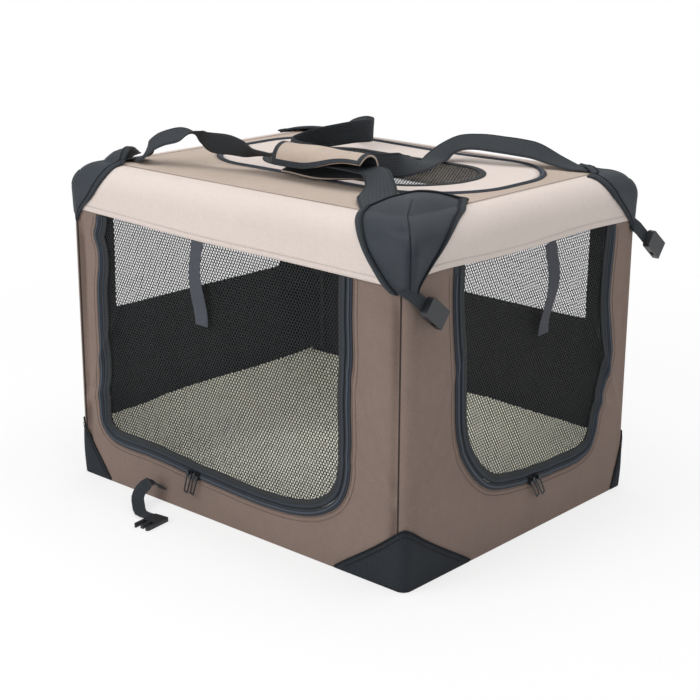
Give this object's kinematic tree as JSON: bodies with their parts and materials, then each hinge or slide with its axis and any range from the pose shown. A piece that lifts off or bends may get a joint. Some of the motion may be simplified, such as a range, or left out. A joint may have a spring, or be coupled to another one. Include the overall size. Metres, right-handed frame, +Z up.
{
  "type": "soft folding dog crate",
  "caption": "Soft-sided folding dog crate: cloth cover with zipped mesh doors and roof flap over a steel tube frame that folds flat, with carry handles, fleece mat and side-release closure.",
  "frame": {"origin": "on the floor under the centre of the crate", "axes": "+Z up; -Y towards the long front wall with the large door; +X towards the end wall with the second door"},
  "size_m": [0.7246, 0.7173, 0.5781],
  "materials": {
    "painted_steel": "dark powder paint",
    "floor_cloth": "stiffened cloth floor board",
    "cream_fleece": "deep fleece pile",
    "brown_cloth": "plain woven cloth, matt",
    "pale_cloth": "plain woven cloth, matt",
    "slate_cloth": "coarse woven cloth, matt",
    "zip_tape": "fine ribbed tape",
    "black_net": "knitted mesh",
    "dark_webbing": "ribbed webbing",
    "dark_metal": "dark plated casting",
    "black_plastic": "moulded, slightly glossy"
  },
  "bodies": {
    "base": {"base_frame": "painted_steel", "floor_panel": "floor_cloth", "fleece_mat": "cream_fleece", "front_wall": "brown_cloth", "right_wall": "brown_cloth", "back_wall": "brown_cloth", "left_wall": "brown_cloth", "lower_patch_front_left": "slate_cloth", "lower_patch_front_right": "slate_cloth", "lower_patch_back_left": "slate_cloth", "lower_patch_back_right": "slate_cloth", "front_zip": "zip_tape", "end_zip": "zip_tape", "back_window_net": "black_net", "left_window_net": "black_net"},
    "top": {"top_frame": "painted_steel", "cover_band": "pale_cloth", "upper_patch_front_left": "slate_cloth", "upper_patch_front_right": "slate_cloth", "upper_patch_back_left": "slate_cloth", "upper_patch_back_right": "slate_cloth", "roof_panel": "brown_cloth", "roof_zip": "zip_tape"},
    "front_door": {"front_door_binding": "zip_tape", "front_door_net": "black_net"},
    "end_door": {"end_door_binding": "zip_tape", "end_door_net": "black_net"},
    "roof_flap": {"roof_flap_cloth": "pale_cloth", "roof_vent_net": "black_net"},
    "front_handle": {"front_handle": "dark_webbing", "grip_wrap": "brown_cloth"},
    "rear_handle": {"rear_handle": "dark_webbing"},
    "front_tie": {"front_tie_strap": "dark_webbing"},
    "end_tie": {"end_tie_strap": "dark_webbing"},
    "front_buckle_strap": {"front_buckle_strap": "dark_webbing"},
    "back_buckle_strap": {"back_buckle_strap": "dark_webbing"},
    "front_buckle": {"front_female_buckle": "black_plastic"},
    "back_buckle": {"back_female_buckle": "black_plastic"},
    "closure": {"closure_strap": "dark_webbing", "male_buckle": "black_plastic"},
    "lower_front_left": {"lower_post_front_left": "painted_steel", "knee_rivet_front_left": "painted_steel"},
    "upper_front_left": {"upper_post_front_left": "painted_steel"},
    "lower_front_right": {"lower_post_front_right": "painted_steel", "knee_rivet_front_right": "painted_steel"},
    "upper_front_right": {"upper_post_front_right": "painted_steel"},
    "lower_back_left": {"lower_post_back_left": "painted_steel", "knee_rivet_back_left": "painted_steel"},
    "upper_back_left": {"upper_post_back_left": "painted_steel"},
    "lower_back_right": {"lower_post_back_right": "painted_steel", "knee_rivet_back_right": "painted_steel"},
    "upper_back_right": {"upper_post_back_right": "painted_steel"},
    "front_slider_left": {"front_slider_left": "dark_metal"},
    "front_pull_left": {"front_pull_left": "dark_metal"},
    "front_slider_right": {"front_slider_right": "dark_metal"},
    "front_pull_right": {"front_pull_right": "dark_metal"},
    "end_slider_left": {"end_slider_left": "dark_metal"},
    "end_pull_left": {"end_pull_left": "dark_metal"},
    "end_slider_right": {"end_slider_right": "dark_metal"},
    "end_pull_right": {"end_pull_right": "dark_metal"}
  },
  "joints": [
    {"name": "frame_fold", "type": "hinge", "parent": "base", "child": "lower_front_left", "pos_m": [-0.312, -0.2679, 0.0293], "axis": [0, 1, 0], "range_deg": [0, 81], "deforming": ["front_wall", "right_wall", "back_wall", "left_wall", "front_zip", "end_zip", "back_window_net", "left_window_net", "front_door_binding", "front_door_net", "end_door_binding", "end_door_net", "cover_band"]},
    {"name": "knee_front_left", "type": "hinge", "parent": "lower_front_left", "child": "upper_front_left", "pos_m": [-0.312, -0.2679, 0.25644], "axis": [0, 1, 0], "range_deg": [-162, 0]},
    {"name": "fold_front_right", "type": "hinge", "parent": "base", "child": "lower_front_right", "pos_m": [0.312, -0.2679, 0.0293], "axis": [0, -1, 0], "range_deg": [0, 81]},
    {"name": "knee_front_right", "type": "hinge", "parent": "lower_front_right", "child": "upper_front_right", "pos_m": [0.312, -0.2679, 0.25644], "axis": [0, -1, 0], "range_deg": [-162, 0]},
    {"name": "fold_back_left", "type": "hinge", "parent": "base", "child": "lower_back_left", "pos_m": [-0.312, 0.2679, 0.0293], "axis": [0, 1, 0], "range_deg": [0, 81]},
    {"name": "knee_back_left", "type": "hinge", "parent": "lower_back_left", "child": "upper_back_left", "pos_m": [-0.312, 0.2679, 0.25644], "axis": [0, 1, 0], "range_deg": [-162, 0]},
    {"name": "fold_back_right", "type": "hinge", "parent": "base", "child": "lower_back_right", "pos_m": [0.312, 0.2679, 0.0293], "axis": [0, -1, 0], "range_deg": [0, 81]},
    {"name": "knee_back_right", "type": "hinge", "parent": "lower_back_right", "child": "upper_back_right", "pos_m": [0.312, 0.2679, 0.25644], "axis": [0, -1, 0], "range_deg": [-162, 0]},
    {"name": "top_level", "type": "hinge", "parent": "upper_front_left", "child": "top", "pos_m": [-0.312, -0.2679, 0.48359], "axis": [0, 1, 0], "range_deg": [0, 81]},
    {"name": "front_door", "type": "hinge", "parent": "top", "child": "front_door", "pos_m": [0, -0.278, 0.446], "axis": [-1, 0, 0], "range_deg": [0, 110]},
    {"name": "end_door", "type": "hinge", "parent": "top", "child": "end_door", "pos_m": [0.35, 0, 0.446], "axis": [0, -1, 0], "range_deg": [0, 110]},
    {"name": "roof_flap", "type": "hinge", "parent": "top", "child": "roof_flap", "pos_m": [0, 0.21, 0.52], "axis": [-1, 0, 0], "range_deg": [0, 110], "deforming": ["roof_flap_cloth", "roof_vent_net"]},
    {"name": "front_handle", "type": "hinge", "parent": "top", "child": "front_handle", "pos_m": [0, -0.18601, 0.522], "axis": [1, 0, 0], "range_deg": [0, 110], "deforming": ["front_handle"]},
    {"name": "rear_handle", "type": "hinge", "parent": "top", "child": "rear_handle", "pos_m": [0, 0.22201, 0.522], "axis": [-1, 0, 0], "range_deg": [0, 110], "deforming": ["rear_handle"]},
    {"name": "front_tie", "type": "hinge", "parent": "top", "child": "front_tie", "pos_m": [0, -0.278, 0.446], "axis": [-1, 0, 0], "range_deg": [0, 120], "deforming": ["front_tie_strap"]},
    {"name": "end_tie", "type": "hinge", "parent": "top", "child": "end_tie", "pos_m": [0.35, 0, 0.446], "axis": [0, -1, 0], "range_deg": [0, 120], "deforming": ["end_tie_strap"]},
    {"name": "front_buckle_strap", "type": "hinge", "parent": "top", "child": "front_buckle_strap", "pos_m": [0.3559, -0.278, 0.4317], "axis": [0, -0.6157, -0.788], "range_deg": [0, 81]},
    {"name": "front_buckle", "type": "hinge", "parent": "front_buckle_strap", "child": "front_buckle", "pos_m": [0.3583, -0.25751, 0.41569], "axis": [0, -0.6157, -0.788], "range_deg": [0, 70]},
    {"name": "back_buckle_strap", "type": "hinge", "parent": "top", "child": "back_buckle_strap", "pos_m": [0.3559, 0.274, 0.4317], "axis": [0, -0.6157, -0.788], "range_deg": [0, 81]},
    {"name": "back_buckle", "type": "hinge", "parent": "back_buckle_strap", "child": "back_buckle", "pos_m": [0.3583, 0.29449, 0.41569], "axis": [0, -0.6157, -0.788], "range_deg": [0, 70]},
    {"name": "closure_strap", "type": "hinge", "parent": "base", "child": "closure", "pos_m": [-0.15001, -0.2799, 0.022], "axis": [-1, 0, 0], "range_deg": [0, 80], "deforming": ["closure_strap"]},
    {"name": "front_slider_left", "type": "slide", "parent": "base", "child": "front_slider_left", "axis": [-1, 0, 0], "range_m": [0, 0.165]},
    {"name": "front_pull_left", "type": "hinge", "parent": "front_slider_left", "child": "front_pull_left", "pos_m": [-0.081, -0.2847, 0.0675], "axis": [-0.9613, 0, 0.2756], "range_deg": [0, 110]},
    {"name": "front_slider_right", "type": "slide", "parent": "base", "child": "front_slider_right", "axis": [1, 0, 0], "range_m": [0, 0.23]},
    {"name": "front_pull_right", "type": "hinge", "parent": "front_slider_right", "child": "front_pull_right", "pos_m": [-0.067, -0.2847, 0.0675], "axis": [-0.9613, 0, 0.2756], "range_deg": [0, 110]},
    {"name": "end_slider_left", "type": "slide", "parent": "base", "child": "end_slider_left", "axis": [0, -1, 0], "range_m": [0, 0.1]},
    {"name": "end_pull_left", "type": "hinge", "parent": "end_slider_left", "child": "end_pull_left", "pos_m": [0.3567, 0.013, 0.0875], "axis": [0, -0.866, -0.5], "range_deg": [0, 110]},
    {"name": "end_slider_right", "type": "slide", "parent": "base", "child": "end_slider_right", "axis": [0, 1, 0], "range_m": [0, 0.143]},
    {"name": "end_pull_right", "type": "hinge", "parent": "end_slider_right", "child": "end_pull_right", "pos_m": [0.3567, 0.027, 0.0875], "axis": [0, -0.866, -0.5], "range_deg": [0, 110]}
  ],
  "couplings": [
    {"joint": "knee_front_left", "follows": "frame_fold", "ratio": -2},
    {"joint": "fold_front_right", "follows": "frame_fold", "ratio": 1},
    {"joint": "knee_front_right", "follows": "frame_fold", "ratio": -2},
    {"joint": "fold_back_left", "follows": "frame_fold", "ratio": 1},
    {"joint": "knee_back_left", "follows": "frame_fold", "ratio": -2},
    {"joint": "fold_back_right", "follows": "frame_fold", "ratio": 1},
    {"joint": "knee_back_right", "follows": "frame_fold", "ratio": -2},
    {"joint": "top_level", "follows": "frame_fold", "ratio": 1},
    {"joint": "front_buckle_strap", "follows": "frame_fold", "ratio": 1},
    {"joint": "back_buckle_strap", "follows": "frame_fold", "ratio": 1}
  ]
}
